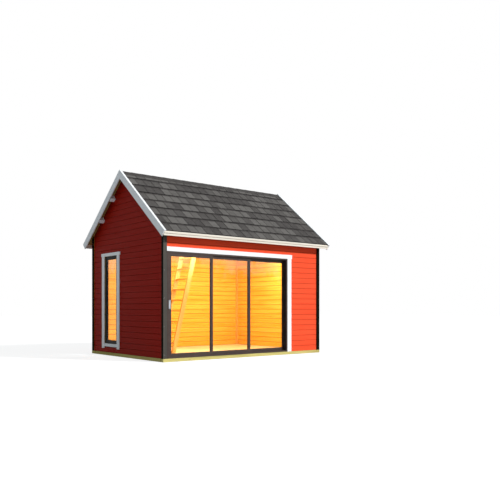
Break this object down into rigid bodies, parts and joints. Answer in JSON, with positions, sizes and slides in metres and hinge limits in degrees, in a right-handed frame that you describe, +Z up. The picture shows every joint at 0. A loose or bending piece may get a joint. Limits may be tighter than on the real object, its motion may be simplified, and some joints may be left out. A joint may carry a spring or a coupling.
{
  "type": "garden shed",
  "caption": "Small gable-roofed garden shed of plank walls with a sliding glass door along the front, a tall gable window, shingled roof and a loft ladder.",
  "frame": {"origin": "ground level under the middle of the cabin", "axes": "+X runs along the front wall to the right, +Y from the front wall to the back, +Z up"},
  "size_m": [4.548, 3.618, 3.9998],
  "materials": {
    "treated_timber": "sawn, pressure treated",
    "pine": "planed, clear oiled",
    "red_planks": "planed, painted red",
    "dark_trim": "planed, painted dark grey",
    "white_trim": "planed, painted white",
    "shingles": "mineral granules on felt",
    "dark_frame": "satin powder coat",
    "window_frame": "painted dark grey, satin",
    "glass": "clear, polished",
    "roller": "moulded",
    "handle": "satin, painted white"
  },
  "bodies": {
    "house": {"front_sole": "treated_timber", "back_sole": "treated_timber", "side_soles": "treated_timber", "floor_joists": "treated_timber", "floor_boards": "pine", "front_wall_left_post": "red_planks", "front_wall_over_door": "red_planks", "front_wall_right": "red_planks", "back_wall": "red_planks", "left_gable_wall": "red_planks", "right_gable_wall": "red_planks", "corner_trims": "dark_trim", "inner_corner_posts": "pine", "roof_purlins": "pine", "front_roof_boards": "pine", "back_roof_boards": "pine", "front_shingles": "shingles", "back_shingles": "shingles", "ridge_cap": "shingles", "left_barge_boards": "white_trim", "right_barge_boards": "white_trim", "left_barge_caps": "white_trim", "right_barge_caps": "white_trim", "eave_fascias": "white_trim", "eave_strips": "white_trim", "door_sill": "dark_frame", "door_head": "dark_frame", "door_jambs": "dark_frame", "door_trims": "white_trim", "right_door_frame": "dark_frame", "right_door_glass": "glass", "window_frame": "window_frame", "window_glass": "glass", "window_trims": "white_trim", "loft_joists": "pine", "loft_boards": "pine", "ladder_stiles": "pine", "ladder_rungs": "pine"},
    "left_door": {"left_door_frame": "dark_frame", "left_door_glass": "glass", "left_door_rollers": "roller", "left_door_handle": "handle"},
    "middle_door": {"middle_door_frame": "dark_frame", "middle_door_glass": "glass", "middle_door_rollers": "roller"}
  },
  "joints": [
    {"name": "left_door_slide", "type": "slide", "parent": "house", "child": "left_door", "axis": [1, 0, 0], "range_m": [0, 2.06]},
    {"name": "middle_door_slide", "type": "slide", "parent": "house", "child": "middle_door", "axis": [1, 0, 0], "range_m": [0, 1.03]}
  ]
}
